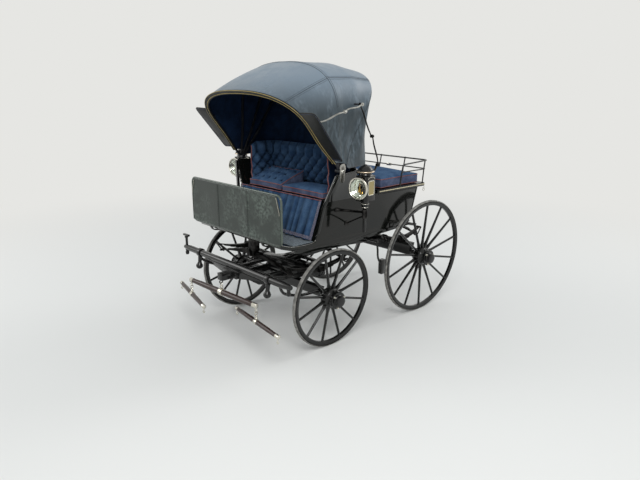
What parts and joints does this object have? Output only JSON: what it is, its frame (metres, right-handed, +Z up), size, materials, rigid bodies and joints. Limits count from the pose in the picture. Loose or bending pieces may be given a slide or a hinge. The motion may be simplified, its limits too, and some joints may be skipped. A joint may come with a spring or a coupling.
{
  "type": "mail phaeton",
  "caption": "Horse carriage with a folding leather hood over the front seat, a railed seat behind, telegraph springs, a turning fore carriage and draught bars.",
  "frame": {"origin": "on the ground, at the middle of the overall length and width", "axes": "+X to the right when looking along +Y; +Y towards the rear of the carriage; +Z up"},
  "size_m": [1.9859, 2.707, 2.4855],
  "materials": {
    "black_coach_paint": "gloss black coach enamel on timber",
    "black_iron": "gloss black on iron",
    "worn_steel": "worn polished iron",
    "tyre_rubber": "worn grey solid rubber",
    "hood_leather": "worn blue-black patent leather",
    "bow_timber": "leather-covered ash bows",
    "navy_cloth": "navy wool box cloth",
    "grey_mat": "grey ribbed mat",
    "draught_wood": "dark varnished timber with iron hooks"
  },
  "bodies": {
    "chassis": {"perch": "black_coach_paint", "transom": "black_iron", "rear_axle": "black_iron", "front_side_spring_left": "black_iron", "front_side_spring_right": "black_iron", "front_cross_spring_fore": "black_iron", "front_cross_spring_aft": "black_iron", "rear_side_spring_left": "black_iron", "rear_side_spring_right": "black_iron", "rear_cross_spring_fore": "black_iron", "rear_cross_spring_aft": "black_iron", "body_shell": "black_coach_paint", "floor_mat": "grey_mat", "dash_frame": "black_iron", "dash_leather": "hood_leather", "seat_frame": "black_coach_paint", "squab": "navy_cloth", "passenger_cushion": "navy_cloth", "driver_cushion": "navy_cloth", "rear_cushion": "navy_cloth", "seat_fall": "navy_cloth", "rear_rail": "black_iron", "hood_leather": "hood_leather", "hood_head_left": "worn_steel", "hood_head_right": "worn_steel", "lamp_bracket_left": "black_iron", "lamp_bracket_right": "black_iron"},
    "fore_carriage": {"front_axle": "black_iron", "futchells": "black_coach_paint", "splinter_bar": "black_coach_paint"},
    "main_bar_link": {"main_bar_link": "worn_steel"},
    "main_bar": {"main_bar": "draught_wood"},
    "swingletree_left": {"swingletree_left": "draught_wood"},
    "swingletree_right": {"swingletree_right": "draught_wood"},
    "hood_bow_1": {"hood_bow_1": "bow_timber", "hood_wing_left": "hood_leather", "hood_wing_right": "hood_leather"},
    "hood_bow_2": {"hood_bow_2": "bow_timber"},
    "hood_bow_3": {"hood_bow_3": "bow_timber"},
    "hood_bow_4": {"hood_bow_4": "bow_timber"},
    "lamp_left": {"lamp_left": "black_iron"},
    "lamp_right": {"lamp_right": "black_iron"},
    "brake_gear": {"brake_gear": "black_iron"},
    "front_left_wheel": {"front_left_wheel": "black_coach_paint", "front_left_tyre": "tyre_rubber"},
    "front_right_wheel": {"front_right_wheel": "black_coach_paint", "front_right_tyre": "tyre_rubber"},
    "rear_left_wheel": {"rear_left_wheel": "black_coach_paint", "rear_left_tyre": "tyre_rubber"},
    "rear_right_wheel": {"rear_right_wheel": "black_coach_paint", "rear_right_tyre": "tyre_rubber"},
    "front_iron_fore_left": {"front_iron_fore_left": "worn_steel"},
    "front_iron_aft_left": {"front_iron_aft_left": "worn_steel"},
    "back_iron_upper_left": {"back_iron_upper_left": "black_iron"},
    "back_iron_lower_left": {"back_iron_lower_left": "black_iron"},
    "front_iron_fore_right": {"front_iron_fore_right": "worn_steel"},
    "front_iron_aft_right": {"front_iron_aft_right": "worn_steel"},
    "back_iron_upper_right": {"back_iron_upper_right": "black_iron"},
    "back_iron_lower_right": {"back_iron_lower_right": "black_iron"}
  },
  "joints": [
    {"name": "fore_carriage_turn", "type": "hinge", "parent": "chassis", "child": "fore_carriage", "pos_m": [0, -0.51447, 0.59], "axis": [0, 0, 1], "range_deg": [-18, 18]},
    {"name": "front_left_wheel_roll", "type": "hinge", "parent": "fore_carriage", "child": "front_left_wheel", "pos_m": [0.705, -0.51447, 0.45485], "axis": [0.9986, 0, -0.0523], "continuous": true},
    {"name": "front_right_wheel_roll", "type": "hinge", "parent": "fore_carriage", "child": "front_right_wheel", "pos_m": [-0.705, -0.51447, 0.45485], "axis": [0.9986, 0, 0.0523], "continuous": true},
    {"name": "rear_left_wheel_roll", "type": "hinge", "parent": "chassis", "child": "rear_left_wheel", "pos_m": [0.705, 0.76853, 0.58467], "axis": [0.9986, 0, -0.0523], "continuous": true},
    {"name": "rear_right_wheel_roll", "type": "hinge", "parent": "chassis", "child": "rear_right_wheel", "pos_m": [-0.705, 0.76853, 0.58467], "axis": [0.9986, 0, 0.0523], "continuous": true},
    {"name": "main_bar_swing", "type": "hinge", "parent": "fore_carriage", "child": "main_bar_link", "pos_m": [0, -1.21447, 0.585], "axis": [1, 0, 0], "range_deg": [-25, 25]},
    {"name": "main_bar_yaw", "type": "hinge", "parent": "main_bar_link", "child": "main_bar", "pos_m": [0, -1.21447, 0.494], "axis": [0, 0, 1], "range_deg": [-15, 15]},
    {"name": "swingletree_left_yaw", "type": "hinge", "parent": "main_bar", "child": "swingletree_left", "pos_m": [0.47711, -1.18529, 0.349], "axis": [0, 0, 1], "range_deg": [-15, 15]},
    {"name": "swingletree_right_yaw", "type": "hinge", "parent": "main_bar", "child": "swingletree_right", "pos_m": [-0.47711, -1.24365, 0.349], "axis": [0, 0, 1], "range_deg": [-15, 15]},
    {"name": "hood_fold", "type": "hinge", "parent": "chassis", "child": "hood_bow_1", "pos_m": [0, -0.45447, 1.58], "axis": [1, 0, 0], "range_deg": [-112, 0], "deforming": ["hood_leather"]},
    {"name": "hood_bow_2_fold", "type": "hinge", "parent": "chassis", "child": "hood_bow_2", "pos_m": [0, -0.45447, 1.58], "axis": [1, 0, 0], "range_deg": [-78.1, 0]},
    {"name": "hood_bow_3_fold", "type": "hinge", "parent": "chassis", "child": "hood_bow_3", "pos_m": [0, -0.45447, 1.58], "axis": [1, 0, 0], "range_deg": [-63.1, 0]},
    {"name": "hood_bow_4_fold", "type": "hinge", "parent": "chassis", "child": "hood_bow_4", "pos_m": [0, -0.45447, 1.58], "axis": [1, 0, 0], "range_deg": [-55.1, 0]},
    {"name": "front_iron_fore_left_pivot", "type": "hinge", "parent": "hood_bow_1", "child": "front_iron_fore_left", "pos_m": [0.798, -0.76462, 1.99796], "axis": [1, 0, 0], "range_deg": [0, 32.08]},
    {"name": "front_iron_aft_left_pivot", "type": "hinge", "parent": "hood_bow_3", "child": "front_iron_aft_left", "pos_m": [0.782, -0.2561, 2.12502], "axis": [1, 0, 0], "range_deg": [0, 152.72]},
    {"name": "back_iron_upper_left_pivot", "type": "hinge", "parent": "hood_bow_3", "child": "back_iron_upper_left", "pos_m": [0.752, -0.2561, 2.12502], "axis": [1, 0, 0], "range_deg": [0, 24.45]},
    {"name": "back_iron_lower_left_pivot", "type": "hinge", "parent": "chassis", "child": "back_iron_lower_left", "pos_m": [0.767, -0.02447, 1.6], "axis": [1, 0, 0], "range_deg": [-178.44, 0]},
    {"name": "front_iron_fore_right_pivot", "type": "hinge", "parent": "hood_bow_1", "child": "front_iron_fore_right", "pos_m": [-0.798, -0.76462, 1.99796], "axis": [1, 0, 0], "range_deg": [0, 32.08]},
    {"name": "front_iron_aft_right_pivot", "type": "hinge", "parent": "hood_bow_3", "child": "front_iron_aft_right", "pos_m": [-0.782, -0.2561, 2.12502], "axis": [1, 0, 0], "range_deg": [0, 152.72]},
    {"name": "back_iron_upper_right_pivot", "type": "hinge", "parent": "hood_bow_3", "child": "back_iron_upper_right", "pos_m": [-0.752, -0.2561, 2.12502], "axis": [1, 0, 0], "range_deg": [0, 24.45]},
    {"name": "back_iron_lower_right_pivot", "type": "hinge", "parent": "chassis", "child": "back_iron_lower_right", "pos_m": [-0.767, -0.02447, 1.6], "axis": [1, 0, 0], "range_deg": [-178.44, 0]},
    {"name": "lamp_left_lift", "type": "slide", "parent": "chassis", "child": "lamp_left", "axis": [0, 0, 1], "range_m": [0, 0.2]},
    {"name": "lamp_right_lift", "type": "slide", "parent": "chassis", "child": "lamp_right", "axis": [0, 0, 1], "range_m": [0, 0.2]},
    {"name": "brake_apply", "type": "hinge", "parent": "chassis", "child": "brake_gear", "pos_m": [0, 0.06053, 0.868], "axis": [1, 0, 0], "range_deg": [0, 2.8]}
  ],
  "couplings": [
    {"joint": "hood_bow_2_fold", "follows": "hood_fold", "ratio": 0.6964},
    {"joint": "hood_bow_3_fold", "follows": "hood_fold", "ratio": 0.5625},
    {"joint": "hood_bow_4_fold", "follows": "hood_fold", "ratio": 0.4911},
    {"joint": "front_iron_fore_left_pivot", "follows": "hood_fold", "ratio": -0.2846},
    {"joint": "front_iron_aft_left_pivot", "follows": "hood_fold", "ratio": -1.3618},
    {"joint": "back_iron_upper_left_pivot", "follows": "hood_fold", "ratio": -0.2165},
    {"joint": "back_iron_lower_left_pivot", "follows": "hood_fold", "ratio": 1.5914},
    {"joint": "front_iron_fore_right_pivot", "follows": "hood_fold", "ratio": -0.2846},
    {"joint": "front_iron_aft_right_pivot", "follows": "hood_fold", "ratio": -1.3618},
    {"joint": "back_iron_upper_right_pivot", "follows": "hood_fold", "ratio": -0.2165},
    {"joint": "back_iron_lower_right_pivot", "follows": "hood_fold", "ratio": 1.5914}
  ]
}
